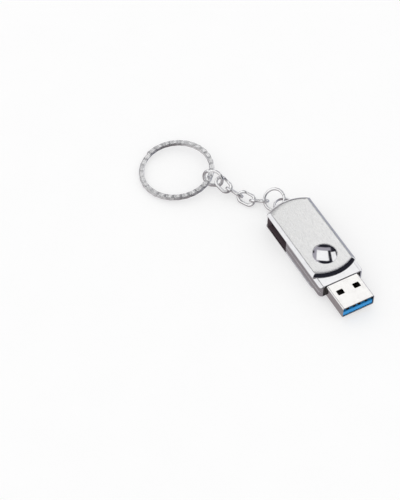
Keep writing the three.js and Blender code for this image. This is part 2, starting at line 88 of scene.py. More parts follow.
class Tree:
    """Short way to add nodes to a node tree and join them."""

    def __init__(self, tree: bpy.types.NodeTree) -> None:
        """Keeps the tree that nodes are added to."""
        self.tree = tree

    def add(self, kind: str, inputs: dict[Any, Any] | None = None, **settings: Any) -> bpy.types.Node:
        """Adds a node.

        Args:
            kind: Type of the node.
            inputs: Value or socket for each input, by name or number.
            settings: Properties of the node.

        Returns:
            The new node.
        """
        made = self.tree.nodes.new(kind)
        for key, value in settings.items():
            setattr(made, key, value)
        for key, value in (inputs or {}).items():
            if isinstance(value, bpy.types.NodeSocket):
                self.tree.links.new(value, made.inputs[key])
            else:
                made.inputs[key].default_value = value
        return made

    def math(self, operation: str, *values: Any) -> bpy.types.NodeSocket:
        """Joins numbers or sockets with one Math node and returns its result."""
        return self.add("ShaderNodeMath", dict(enumerate(values)), operation=operation).outputs[0]

    def dot(self, vector: bpy.types.NodeSocket, other: Vector) -> bpy.types.NodeSocket:
        """Dot product of a vector socket and a fixed direction."""
        values = {0: vector, 1: tuple(other)}
        return self.add("ShaderNodeVectorMath", values, operation="DOT_PRODUCT").outputs["Value"]

    def ramp(
        self, value: bpy.types.NodeSocket, low: float, high: float, to_low: float = 0, to_high: float = 1
    ) -> bpy.types.NodeSocket:
        """Smooth change from to_low to to_high while value goes from low to high."""
        values = {"Value": value, "From Min": low, "From Max": high, "To Min": to_low, "To Max": to_high}
        return self.add("ShaderNodeMapRange", values, interpolation_type="SMOOTHSTEP").outputs[0]

    def mix(self, share: Any, first: Any, second: Any) -> bpy.types.NodeSocket:
        """Mixes two colours.

        Args:
            share: Share of the second colour, from 0 to 1, as a number or a socket.
            first: Colour or socket.
            second: Colour or socket.

        Returns:
            The mixed colour.
        """
        made = self.add("ShaderNodeMix", data_type="RGBA")
        for place, value in ((0, share), (6, first), (7, second)):
            if isinstance(value, bpy.types.NodeSocket):
                self.tree.links.new(value, made.inputs[place])
            else:
                made.inputs[place].default_value = value if place == 0 else (*value, 1)
        return made.outputs[2]


# ---------------------------------------------------------------------------------------------
# Finishes
# ---------------------------------------------------------------------------------------------


class Grain(Enum):
    """How a metal surface was finished, as the stretch of its marks along X, Y and Z."""

    POLISHED = (1.0, 1.0, 1.0)
    BRUSHED = (0.03, 1.0, 1.0)
    DRAWN = (0.12, 1.0, 1.0)


@dataclass(frozen=True)
class Metal:
    """Bare or plated metal with smudges, hairline marks and a little unevenness."""

    name: str
    colour: Colour
    shade: Colour
    roughness: float
    grain: Grain = Grain.POLISHED
    smudge: float = 0.05
    mark_size: float = 0.08 * MM
    mark_depth: float = 0.4e-6
    unevenness: float = 0.0
    metallic: float = 1.0
    smear_scale: float = 420.0
    dent_scale: float = 900.0

    def build(self) -> bpy.types.Material:
        """Makes the material.

        Returns:
            The material, with all its marks from the piece's own coordinates.
        """
        material = bpy.data.materials.new(self.name)
        material.use_nodes = True
        tree = Tree(material.node_tree)
        shader = material.node_tree.nodes["Principled BSDF"]
        place = tree.add("ShaderNodeTexCoord").outputs["Object"]
        stretch = tuple(share / self.mark_size for share in self.grain.value)
        drawn = tree.add("ShaderNodeMapping", {"Vector": place, "Scale": stretch}).outputs[0]
        marks = tree.add("ShaderNodeTexNoise", {"Vector": drawn, "Scale": 1.0, "Detail": 3.0}).outputs[0]
        smeared_noise = {"Vector": place, "Scale": self.smear_scale, "Detail": 4.0, "Distortion": 0.6}
        smears = tree.add("ShaderNodeTexNoise", smeared_noise).outputs[0]
        tint = tree.ramp(smears, 0.3, 0.75)
        tree.tree.links.new(tree.mix(tint, self.colour, self.shade), shader.inputs["Base Color"])
        smeared = tree.ramp(smears, 0.45, 0.8, self.roughness, self.roughness + self.smudge)
        worn = tree.ramp(marks, 0.35, 0.75, 0.85, 1.2)
        tree.tree.links.new(tree.math("MULTIPLY", smeared, worn), shader.inputs["Roughness"])
        fine = tree.add("ShaderNodeBump", {"Strength": 0.5, "Distance": self.mark_depth, "Height": marks})
        last = fine
        if self.unevenness:
            dented_noise = {"Vector": place, "Scale": self.dent_scale, "Detail": 1.0}
            dents = tree.add("ShaderNodeTexNoise", dented_noise)
            heights = {"Distance": self.unevenness, "Height": dents.outputs[0], "Normal": fine.outputs[0]}
            last = tree.add("ShaderNodeBump", {"Strength": 0.6, **heights})
        tree.tree.links.new(last.outputs[0], shader.inputs["Normal"])
        shader.inputs["Metallic"].default_value = self.metallic
        return material


@dataclass(frozen=True)
class Moulding:
    """Moulded plastic or ceramic with a fine spark-eroded grain and slight mottling."""

    name: str
    colour: Colour
    shade: Colour
    roughness: float
    grain_size: float = 0.05 * MM
    grain_depth: float = 3e-6
    specular: float = 0.4
    flow_scale: float = 350.0

    def build(self) -> bpy.types.Material:
        """Makes the material.

        Returns:
            The material.
        """
        material = bpy.data.materials.new(self.name)
        material.use_nodes = True
        tree = Tree(material.node_tree)
        shader = material.node_tree.nodes["Principled BSDF"]
        place = tree.add("ShaderNodeTexCoord").outputs["Object"]
        grain = tree.add(
            "ShaderNodeTexNoise", {"Vector": place, "Scale": 1 / self.grain_size, "Detail": 2.0}
        ).outputs[0]
        flow_noise = {"Vector": place, "Scale": self.flow_scale, "Detail": 3.0}
        flow = tree.add("ShaderNodeTexNoise", flow_noise).outputs[0]
        colour = tree.mix(tree.ramp(flow, 0.35, 0.7), self.colour, self.shade)
        tree.tree.links.new(colour, shader.inputs["Base Color"])
        rough = tree.ramp(grain, 0.3, 0.7, self.roughness - 0.06, self.roughness + 0.08)
        tree.tree.links.new(rough, shader.inputs["Roughness"])
        bump = tree.add("ShaderNodeBump", {"Strength": 0.5, "Distance": self.grain_depth, "Height": grain})
        tree.tree.links.new(bump.outputs[0], shader.inputs["Normal"])
        shader.inputs["Specular IOR Level"].default_value = self.specular
        return material


@dataclass(frozen=True)
class BoardLacquer:
    """Green lacquer over a board's copper tracks, which show paler and slightly raised."""

    name: str
    lacquer: Colour = (0.012, 0.1, 0.04)
    over_copper: Colour = (0.03, 0.2, 0.07)
    track_size: float = 0.9 * MM
    track_height: float = 0.02 * MM
    roughness: float = 0.3

    def build(self) -> bpy.types.Material:
        """Makes the material.

        Returns:
            The material.
        """
        material = bpy.data.materials.new(self.name)
        material.use_nodes = True
        tree = Tree(material.node_tree)
        shader = material.node_tree.nodes["Principled BSDF"]
        place = tree.add("ShaderNodeTexCoord").outputs["Object"]
        cells = tree.add(
            "ShaderNodeTexVoronoi",
            {"Vector": place, "Scale": 1 / self.track_size},
            distance="MANHATTAN",
            feature="F1",
        ).outputs["Distance"]
        tracks = tree.ramp(cells, 0.4, 0.46)
        tree.tree.links.new(tree.mix(tracks, self.over_copper, self.lacquer), shader.inputs["Base Color"])
        raised = {"Strength": 0.4, "Distance": self.track_height, "Height": tracks}
        bump = tree.add("ShaderNodeBump", raised, invert=True)
        tree.tree.links.new(bump.outputs[0], shader.inputs["Normal"])
        shader.inputs["Roughness"].default_value = self.roughness
        return material


CHROME = Metal("polished_chrome", (0.86, 0.86, 0.875), (0.80, 0.80, 0.82), 0.05)
# Painted shade: dark matt colour for the shaded inside of the cover's fold, not a finish the metal has.
COVER_INSIDE_SHADE = Metal(
    "cover_inside_painted_shade", (0.11, 0.08, 0.092), (0.085, 0.062, 0.07), 0.5, smudge=0.1, metallic=0.0
)
SATIN = Metal(
    "satin_plate", (0.955, 0.955, 0.95), (0.945, 0.945, 0.94), 0.27, Grain.BRUSHED, 0.01, 0.05 * MM, 0.2e-6
)
PLUG_STEEL = Metal(
    "plug_steel", (0.95, 0.94, 0.925), (0.91, 0.895, 0.88), 0.15, Grain.DRAWN, 0.06, 0.06 * MM, 1e-6
)
# Painted shade: dark colour for the inside of the sleeve, which is in shade and shows dark through the
# latch windows.
PLUG_INSIDE_SHADE = Metal("plug_inside_painted_shade", (0.10, 0.095, 0.09), (0.06, 0.055, 0.055), 0.45, Grain.DRAWN, 0.1)
NICKEL = Metal(
    "chain_nickel", (0.98, 0.98, 0.98), (0.93, 0.93, 0.935), 0.21, Grain.POLISHED, 0.08, unevenness=1.2e-5
)
GOLD = Metal("contact_gold", (0.86, 0.62, 0.26), (0.78, 0.52, 0.2), 0.2, Grain.DRAWN)
CAN = Metal("can_metal", (0.7, 0.71, 0.73), (0.6, 0.61, 0.64), 0.28, Grain.DRAWN)
BLACK = Moulding("black_plastic", (0.035, 0.031, 0.03), (0.045, 0.04, 0.038), 0.5)
BLUE = Moulding("blue_plastic", (0.03, 0.34, 0.78), (0.025, 0.3, 0.72), 0.38)
CHIP = Moulding("chip_black", (0.014, 0.014, 0.016), (0.024, 0.024, 0.026), 0.55, 0.03 * MM)
CERAMIC = Moulding("ceramic_tan", (0.42, 0.28, 0.16), (0.36, 0.23, 0.13), 0.5)
LACQUER = BoardLacquer("board_green")


class Paints:
    """The materials, each built once."""

    def __init__(self) -> None:
        """Starts with no material built."""
        self.built: dict[str, bpy.types.Material] = {}

    def get(self, finish: Metal | Moulding | BoardLacquer) -> bpy.types.Material:
        """Returns the finish's material, building it at the first call.

        Args:
            finish: The finish.

        Returns:
            Its material, built the first time it is asked for.
        """
        if finish.name not in self.built:
            self.built[finish.name] = finish.build()
        return self.built[finish.name]


PAINTS = Paints()


# ---------------------------------------------------------------------------------------------
# Meshes
# ---------------------------------------------------------------------------------------------


def arc(centre: tuple[float, float], radius: float, start: float, end: float, steps: int) -> np.ndarray:
    """Points of an arc.

    Args:
        centre: Centre of the arc.
        radius: Its radius.
        start: First angle, in radians.
        end: Last angle, in radians.
        steps: Number of steps between the two.

    Returns:
        The points, one row each.
    """
    angle = np.linspace(start, end, steps + 1)
    return np.column_stack([centre[0] + radius * np.cos(angle), centre[1] + radius * np.sin(angle)])


def soften(profile: Profile, radius: float, steps: int = 3) -> list[tuple[float, float]]:
    """Rounds the inner corners of an open profile.

    Args:
        profile: Corners of the profile.
        radius: Length that each corner takes from the lines on both sides of it.
        steps: Number of steps in each rounded corner.

    Returns:
        The corners of the rounded profile.
    """
    points = [np.array(p) for p in profile]
    rounded = [points[0]]
    for before, corner, after in zip(points, points[1:], points[2:]):
        back, ahead = before - corner, after - corner
        reach = min(radius, 0.45 * np.linalg.norm(back), 0.45 * np.linalg.norm(ahead))
        first = corner + back / np.linalg.norm(back) * reach
        last = corner + ahead / np.linalg.norm(ahead) * reach
        for share in np.linspace(0, 1, steps + 1):
            rounded.append((1 - share) ** 2 * first + 2 * share * (1 - share) * corner + share**2 * last)
    rounded.append(points[-1])
    return [tuple(p) for p in rounded]


def radial(outline: np.ndarray, centre: tuple[float, float], angles: np.ndarray) -> np.ndarray:
    """Points where rays from a centre meet an outline.

    Args:
        outline: Points of the outline, which every ray meets once.
        centre: Where the rays start.
        angles: Angles of the rays.

    Returns:
        One point for each ray.
    """
    from_centre = outline - np.array(centre)
    order = np.argsort(np.arctan2(from_centre[:, 1], from_centre[:, 0]))
    known = np.arctan2(from_centre[order, 1], from_centre[order, 0])
    length = np.interp(angles, known, np.hypot(*from_centre[order].T), period=2 * math.pi)
    return np.array(centre) + length[:, None] * np.column_stack([np.cos(angles), np.sin(angles)])


def ring_mesh(name: str, rings: Sequence[Ring], closed: bool) -> bpy.types.Mesh:
    """Skin through rings of points at given heights.

    Args:
        name: Name of the mesh.
        rings: Points and height of each ring. All have the same number of points.
        closed: Whether the last ring joins the first. If not, both ends are capped.

    Returns:
        The mesh, with its faces pointing out.
    """
    count = len(rings[0][0])
    places = [(float(x), float(y), z) for outline, z in rings for x, y in outline]
    faces: list[Sequence[int]] = []
    levels = len(rings) if closed else len(rings) - 1
    for level in range(levels):
        here, there = level * count, (level + 1) % len(rings) * count
        for i in range(count):
            after = (i + 1) % count
            faces.append((here + i, here + after, there + after, there + i))
    if not closed:
        faces.append(list(range(count)))
        faces.append([(len(rings) - 1) * count + i for i in range(count)])
    mesh = bpy.data.meshes.new(name)
    mesh.from_pydata(places, [], faces)
    face_out(mesh)
    return mesh


def face_out(mesh: bpy.types.Mesh) -> None:
    """Merges doubled points and turns all faces outwards.

    Args:
        mesh: The mesh, which is changed.
    """
    work = bmesh.new()
    work.from_mesh(mesh)
    bmesh.ops.remove_doubles(work, verts=work.verts, dist=1e-8)
    bmesh.ops.recalc_face_normals(work, faces=work.faces)
    work.to_mesh(mesh)
    work.free()


def turned_mesh(name: str, profile: Profile, sides: int = 128) -> bpy.types.Mesh:
    """Solid of revolution about Z.

    Args:
        name: Name of the mesh.
        profile: Radius and height of each corner, starting and ending on the axis.
        sides: Number of steps round the axis.

    Returns:
        The mesh.
    """
    circle = arc((0, 0), 1, 0, 2 * math.pi, sides)[:-1]
    return ring_mesh(name, [(circle * max(radius, WELD), z) for radius, z in profile], closed=False)


def prism_mesh(name: str, outline: np.ndarray, low: float, high: float) -> bpy.types.Mesh:
    """Upright prism of an outline."""
    return ring_mesh(name, [(outline, low), (outline, high)], closed=False)


def rounded_box(low: Corner, high: Corner, radius: float, steps: int = 3) -> bpy.types.Mesh:
    """Box between two corners with all its edges rounded.

    Args:
        low: Lowest corner.
        high: Highest corner.
        radius: Radius of the edges.
        steps: Number of steps in each edge.

    Returns:
        The mesh.
    """
    work = bmesh.new()
    size = Vector(high) - Vector(low)
    place = Matrix.Translation((Vector(low) + Vector(high)) / 2) @ Matrix.Diagonal((*size, 1))
    bmesh.ops.create_cube(work, size=1, matrix=place)
    bmesh.ops.bevel(work, geom=work.edges[:], offset=radius, segments=steps, profile=0.5, affect="EDGES")
    mesh = bpy.data.meshes.new("rounded_box")
    work.to_mesh(mesh)
    work.free()
    return mesh


def put(name: str, mesh: bpy.types.Mesh) -> bpy.types.Object:
    """Puts a mesh into the scene as an object at the origin.

    Args:
        name: Name of the object.
        mesh: Its mesh.

    Returns:
        The object.
    """
    made = bpy.data.objects.new(name, mesh)
    bpy.context.scene.collection.objects.link(made)
    return made


def settle(made: bpy.types.Object) -> None:
    """Applies every modifier of an object to its mesh.

    Args:
        made: The object, which gets the new mesh and loses its modifiers.
    """
    graph = bpy.context.evaluated_depsgraph_get()
    solid = bpy.data.meshes.new_from_object(
        made.evaluated_get(graph), preserve_all_data_layers=True, depsgraph=graph
    )
    made.modifiers.clear()
    made.data = solid


def combine(base: bpy.types.Mesh, operation: str, tools: Iterable[bpy.types.Mesh]) -> bpy.types.Mesh:
    """Joins solids to a solid, or cuts them from it.

    Args:
        base: The solid to start from.
        operation: UNION or DIFFERENCE.
        tools: The other solids.

    Returns:
        The new mesh.
    """
    made = put("base", base)
    helpers = [put("tool", tool) for tool in tools]
    for helper in helpers:
        change = made.modifiers.new("change", "BOOLEAN")
        change.operation, change.solver, change.object = operation, "EXACT", helper
    settle(made)
    mesh = made.data
    for helper in (made, *helpers):
        bpy.data.objects.remove(helper)
    return mesh


def piece(
    name: str,
    mesh: bpy.types.Mesh,
    finish: Metal | Moulding | BoardLacquer,
    body: str,
    nodes: Sequence[str],
    crease: float = 32.0,
) -> bpy.types.Object:
    """Finishes a piece: smooth shading with creases, its material, its body and the nodes it stands for.

    Args:
        name: Name of the piece.
        mesh: Its mesh.
        finish: Its finish.
        body: The body it rides on.
        nodes: The nodes that it replaces.
        crease: Angle from which an edge stays sharp, in degrees.

    Returns:
        The finished piece.
    """
    mesh.name = name
    made = put(name, mesh)
    if not mesh.materials:
        mesh.materials.append(PAINTS.get(finish))
    mesh.polygons.foreach_set("use_smooth", [True] * len(mesh.polygons))
    mesh.set_sharp_from_angle(angle=math.radians(crease))
    weights = made.modifiers.new("weights", "WEIGHTED_NORMAL")
    weights.keep_sharp = True
    weights.weight = 80
    settle(made)
    made.data.name = name
    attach(made, body)
    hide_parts(*nodes)
    log.info("%s: %d faces, on %s, for %s", name, len(made.data.polygons), body, ", ".join(nodes))
    return made


# ---------------------------------------------------------------------------------------------
# Cover
# ---------------------------------------------------------------------------------------------


@dataclass(frozen=True)
class Swivel:
    """Sizes that the cover and the body share where they turn on each other."""

    shank_hole: float = 2.58 * MM
    collar_radius: float = 3.2 * MM
    head_radius: float = 4.2 * MM
    gap: float = 0.08 * MM


SWIVEL = Swivel()


@dataclass(frozen=True)
class BarrelOutline:
    """Outline with straight long sides and two bowed ends."""

    front: float
    rear: float
    half_width: float
    bow_radius: float
    corner: float
    bow_steps: int = 48
    corner_steps: int = 5
    side_steps: int = 56

    def ends(self, inset: float) -> tuple[np.ndarray, np.ndarray]:
        """Both ends of the outline with their corners.

        Args:
            inset: How far the outline is set in.

        Returns:
            The points of the front end, and those of the rear end.
        """
        bow, half = self.bow_radius - inset, self.half_width - inset
        reach = math.sqrt((bow - self.corner) ** 2 - (half - self.corner) ** 2)
        lean = math.atan2(half - self.corner, reach)
        front, rear = self.front - self.bow_radius, self.rear + self.bow_radius
        right, left = -half + self.corner, half - self.corner
        quarter = math.pi / 2
        corner, steps = self.corner, self.corner_steps
        front_end = [
            arc((front + reach, right), corner, -quarter, -lean, steps),
            arc((front, 0), bow, -lean, lean, self.bow_steps)[1:-1],
            arc((front + reach, left), corner, lean, quarter, steps),
        ]
        rear_end = [
            arc((rear - reach, left), corner, quarter, math.pi - lean, steps),
            arc((rear, 0), bow, math.pi - lean, math.pi + lean, self.bow_steps)[1:-1],
            arc((rear - reach, right), corner, math.pi + lean, 3 * quarter, steps),
        ]
        return np.vstack(front_end), np.vstack(rear_end)

    def points(self, inset: float) -> np.ndarray:
        """The whole outline.

        Args:
            inset: How far the outline is set in.

        Returns:
            The points, once round.
        """
        front, rear = self.ends(inset)
        shares = np.linspace(0, 1, self.side_steps + 1)[1:-1, None]
        left = front[-1] + shares * (rear[0] - front[-1])
        right = rear[-1] + shares * (front[0] - rear[-1])
        return np.vstack([front, left, rear, right])


@dataclass
class Cover:
    """Folded cover: two bevelled plates, the wall that joins them, the eyelet and two inlays."""

    bow_radius: float = 15.1 * MM
    bevel_drop: float = 0.88 * MM
    plate_thickness: float = 1.0 * MM
    seat_gap: float = 0.05 * MM
    seam: float = 0.1 * MM
    rim: float = 0.1 * MM
    edge_round: float = 0.14 * MM
    corner: float = 0.5 * MM
    # Width along the plates' inner edges that is left out of the painted shade on the inside of the fold.
    painted_shade_margin: float = 0.5 * MM
    inlay_round: float = 0.06 * MM
    bridge_setback: float = 0.3 * MM
    bridge_thickness: float = 1.3 * MM
    eyelet_half_width: float = 3.3 * MM
    eyelet_thickness: float = 1.2 * MM
    eyelet_corner: float = 2.0 * MM
    eyelet_bar: float = 0.9 * MM
    slot_length: float = 2.2 * MM
    slot_half_width: float = 2.4 * MM
    slot_corner: float = 0.5 * MM
    lobe_steps: int = 24
    eyelet_sides: int = 180
    eyelet_round: float = 0.28

    def __post_init__(self) -> None:
        """Takes the plates' outline and levels from the frame."""
        low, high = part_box("cover_frame")
        inlay_low, inlay_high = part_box("top_inlay_plate")
        self.bevel = high[1] - inlay_high[1] - self.seat_gap
        self.rear = inlay_low[0] - self.bevel - self.seat_gap
        self.outline = BarrelOutline(high[0], self.rear, high[1], self.bow_radius, self.corner)
        self.bottom, self.top = low[2], high[2]
        self.eyelet_end = low[0]
        self.inlay_thickness = inlay_high[2] - inlay_low[2]
        self.angles = np.arctan2(*self.outline.points(self.bevel).T[::-1])

    def circle(self, radius: float) -> np.ndarray:
        """Circle about the swivel axis with one point for each point of the outline."""
        return radius * np.column_stack([np.cos(self.angles), np.sin(self.angles)])

    def plate(self, side: int) -> bpy.types.Mesh:
        """One plate with its bevel, the pocket for its inlay and the hole for the rivet.

        Args:
            side: 1 for the top plate and -1 for the bottom one.

        Returns:
            The mesh.
        """
        outer = self.top if side > 0 else self.bottom
        inner = outer - side * self.plate_thickness
        shoulder = inner + side * (self.plate_thickness - self.bevel_drop)
        floor = outer - side * self.inlay_thickness
        profile = [
            (self.bevel * 2, inner),
            (self.painted_shade_margin, inner),
            (0.0, inner),
            (0.0, shoulder),
            (self.bevel - self.rim, outer),
            (self.bevel, outer),
            (self.bevel, floor),
            (self.bevel * 2, floor),
        ]
        rings = [(self.outline.points(inset), z) for inset, z in soften(profile, self.edge_round)]
        hole = self.circle(SWIVEL.collar_radius + SWIVEL.gap if side > 0 else SWIVEL.shank_hole)
        rings = [(hole, inner), *rings, (hole, floor)]
        return ring_mesh("plate", rings, closed=True)

    def bridge(self) -> bpy.types.Mesh:
        """Bowed wall between the plates at the rear, from corner to corner.

        Returns:
            The mesh, which reaches half way into both plates.
        """
        embed = self.plate_thickness / 2
        low, high = self.bottom + embed, self.top - embed
        near = self.outline.ends(self.bridge_setback)[1]
        far = self.outline.ends(self.bridge_setback + self.bridge_thickness)[1]
        loop = np.vstack([near, far[::-1]])
        return prism_mesh("bridge", loop, low, high)

    def eyelet(self) -> bpy.types.Mesh:
        """Rounded lobe behind the bridge, with a slot for the jump ring.

        Returns:
            The mesh, which reaches half way into the bridge.
        """
        middle = (self.bottom + self.top) / 2
        root = self.rear + self.bridge_setback + self.bridge_thickness / 2
        corner, half, quarter = self.eyelet_corner, self.eyelet_half_width, math.pi / 2
        end = self.eyelet_end
        root_side = np.linspace(-half, half, self.lobe_steps)
        lobe = [
            np.column_stack([np.full(self.lobe_steps, root), root_side]),
            arc((end + corner, half - corner), corner, quarter, math.pi, 16),
            arc((end + corner, corner - half), corner, math.pi, 3 * quarter, 16),
        ]
        slot_low = end + self.eyelet_bar
        slot_high = slot_low + self.slot_length
        centre = ((slot_low + slot_high) / 2, 0.0)
        small = self.slot_corner
        wide = self.slot_half_width - small
        slot = [
            arc((slot_high - small, -wide), small, -quarter, 0, 6),
            arc((slot_high - small, wide), small, 0, quarter, 6),
            arc((slot_low + small, wide), small, quarter, math.pi, 6),
            arc((slot_low + small, -wide), small, math.pi, 3 * quarter, 6),
        ]
        angles = np.linspace(-math.pi, math.pi, self.eyelet_sides + 1)[:-1]
        outer, inner = radial(np.vstack(lobe), centre, angles), radial(np.vstack(slot), centre, angles)
        half_height = self.eyelet_thickness / 2
        section = soften([(0.5, -1), (1, -1), (1, 1), (0, 1), (0, -1), (0.5, -1)], self.eyelet_round)
        rings = [
            (inner + share * (outer - inner), middle + rise * half_height)
            for share, rise in section[:-1]
        ]
        return ring_mesh("eyelet", rings, closed=True)

    def inlay(self, node: str, window: float) -> bpy.types.Mesh:
        """Plate that lies in a pocket.

        Args:
            node: The node it stands for.
            window: Radius of its round window, or 0 for a plain plate.

        Returns:
            The mesh.
        """
        low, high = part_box(node)
        inset, soft = self.bevel + self.seam, self.inlay_round
        rim = [(2 * inset, low[2]), (inset, low[2]), (inset, high[2]), (2 * inset, high[2])]
        rings = [(self.outline.points(step), z) for step, z in soften(rim, soft)]
        if not window:
            return ring_mesh("inlay", rings, closed=False)
        hole = soften(
            [(window + soft, high[2]), (window, high[2]), (window, low[2]), (window + soft, low[2])], soft
        )
        rings += [(self.circle(radius), z) for radius, z in hole]
        return ring_mesh("inlay", rings, closed=True)

    def paint_inside_shade(self, mesh: bpy.types.Mesh) -> None:
        """Gives the inside of the fold a dark matt finish as painted shade, for the shade that falls
        between the plates.

        Args:
            mesh: The casting's mesh, which is changed.
        """
        mesh.materials.clear()
        mesh.materials.append(PAINTS.get(CHROME))
        mesh.materials.append(PAINTS.get(COVER_INSIDE_SHADE))
        low, high = self.bottom + self.plate_thickness, self.top - self.plate_thickness
        bow_centre = Vector((self.rear + self.bow_radius, 0))
        outer_bow = self.bow_radius - self.bridge_setback
        for face in mesh.polygons:
            x, y, z = face.center
            on_level = min(abs(z - low), abs(z - high)) < SLACK and abs(face.normal.z) > 0.99
            flat = on_level and abs(y) < self.outline.half_width - self.painted_shade_margin
            wall = low < z < high and x > self.rear and abs(face.normal.z) < 0.5
            outside = (Vector((x, y)) - bow_centre).length > outer_bow - 2 * SLACK
            # Index 1 paints shade on the plates' inner faces and the bridge's inner wall.
            face.material_index = 1 if flat or (wall and not outside) else 0

    def build(self) -> None:
        """Builds the cover's pieces."""
        casting = combine(self.plate(1), "UNION", [self.plate(-1), self.bridge(), self.eyelet()])
        self.paint_inside_shade(casting)
        piece("cover_casting", casting, CHROME, "cover", ["cover_frame"])
        window = SWIVEL.head_radius + SWIVEL.gap
        piece("top_inlay", self.inlay("top_inlay_plate", window), SATIN, "cover", ["top_inlay_plate"])
        plain = self.inlay("bottom_inlay_plate", 0.0)
        piece("bottom_inlay", plain, SATIN, "cover", ["bottom_inlay_plate"])


# ---------------------------------------------------------------------------------------------
# Swivelling body
# ---------------------------------------------------------------------------------------------


@dataclass
class Body:
    """Case of the drive: two polished half shells and the dished rivet they turn on."""

    wall: float = 1.1 * MM
    roof: float = 0.3 * MM
    bevel_width: float = 1.25 * MM
    bevel_drop: float = 0.45 * MM
    front_chamfer: float = 0.2 * MM
    corner: float = 1.2 * MM
    tail_corner: float = 0.7 * MM
    smallest_corner: float = 0.2 * MM
    edge_round: float = 0.12 * MM
    parting: float = 0.06 * MM
    hole_sides: int = 64
    hole_top: float = 9.0 * MM
    collar_drop: float = 0.9 * MM
    head_lift: float = 0.05 * MM
    head_round: float = 0.08 * MM
    dish_radius: float = 4.1 * MM
    dish_depth: float = 0.42 * MM
    clinch_radius: float = 3.0 * MM
    clinch_thickness: float = 0.32 * MM

    def outline(self, inset: float, front_inset: float) -> np.ndarray:
        """Outline of the body.

        Args:
            inset: How far the sides and the tail are set in.
            front_inset: How far the front is set in.

        Returns:
            The points of the outline.
        """
        low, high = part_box("upper_shell")
        half, tail, front = high[1] - inset, -low[0] - inset, high[0] - front_inset
        corner = max(self.corner - inset, self.smallest_corner)
        soft = max(self.tail_corner - inset / 2, self.smallest_corner)
        reach = math.sqrt((tail - soft) ** 2 - (half - soft) ** 2)
        lean = math.atan2(half - soft, reach)
        quarter = math.pi / 2
        parts = [
            arc((front - corner, corner - half), corner, -quarter, 0, 8),
            arc((front - corner, half - corner), corner, 0, quarter, 8),
            arc((-reach, half - soft), soft, quarter, math.pi - lean, 6),
            arc((0, 0), tail, math.pi - lean, math.pi + lean, 48)[1:-1],
            arc((-reach, soft - half), soft, math.pi + lean, 3 * quarter, 6),
        ]
        return np.vstack(parts)

    def shell(self, side: int) -> bpy.types.Mesh:
        """Half of the case.

        Args:
            side: 1 for the upper half and -1 for the lower one.

        Returns:
            The mesh.
        """
        low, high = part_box("upper_shell" if side > 0 else "lower_shell")
        rim, roof = (low[2], high[2]) if side > 0 else (high[2], low[2])
        shoulder = roof - side * self.bevel_drop
        chamfer_share = self.front_chamfer / self.bevel_width
        parting = self.parting
        profile = [
            (2 * parting, rim),
            (parting, rim),
            (0.0, rim + side * parting),
            (0.0, shoulder),
            (self.bevel_width, roof),
            (self.bevel_width * 1.2, roof),
        ]
        rings = [
            (self.outline(inset, inset * chamfer_share if inset > parting else inset), z)
            for inset, z in soften(profile, self.edge_round)
        ]
        solid = ring_mesh("shell", rings, closed=False)
        ceiling = roof - side * self.roof
        cavity = prism_mesh("cavity", self.outline(self.wall, -MM), *sorted((rim - side * MM, ceiling)))
        circle = arc((0, 0), SWIVEL.shank_hole, 0, 2 * math.pi, self.hole_sides)[:-1]
        hole = prism_mesh("hole", circle, -MM, self.hole_top)
        return combine(solid, "DIFFERENCE", [cavity, hole])

    def dished_head(self) -> bpy.types.Mesh:
        """Rivet with a polished dish in its head and a clinched inner end.

        Returns:
            The mesh.
        """
        low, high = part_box("pivot_rivet_upper")
        rim = high[2]
        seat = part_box("top_inlay_plate")[0][2] + self.head_lift
        clinch_top = low[2] + self.clinch_thickness
        shank = SWIVEL.shank_hole - SWIVEL.gap
        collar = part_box("cover_frame")[1][2] - self.collar_drop
        stem = [
            (0.0, low[2]),
            (self.clinch_radius, low[2]),
            (self.clinch_radius, clinch_top),
            (shank, clinch_top),
            (shank, collar),
            (SWIVEL.collar_radius, collar),
            (SWIVEL.collar_radius, seat),
            (SWIVEL.head_radius, seat),
            (SWIVEL.head_radius, rim),
            (self.dish_radius, rim),
        ]
        shares = np.linspace(1, 0, 30)[1:]
        dish = [(self.dish_radius * s, rim - self.dish_depth * (1 - s * s)) for s in shares]
        return turned_mesh("rivet", soften([*stem, *dish[:1]], self.head_round)[:-1] + dish)

    def build(self) -> None:
        """Builds the shells and the rivet."""
        for side, name in ((1, "upper"), (-1, "lower")):
            piece(f"{name}_case", self.shell(side), CHROME, "drive_body", [f"{name}_shell"])
        piece("pivot_cap", self.dished_head(), CHROME, "drive_body", ["pivot_rivet_upper"])


# ---------------------------------------------------------------------------------------------
# Plug
# ---------------------------------------------------------------------------------------------


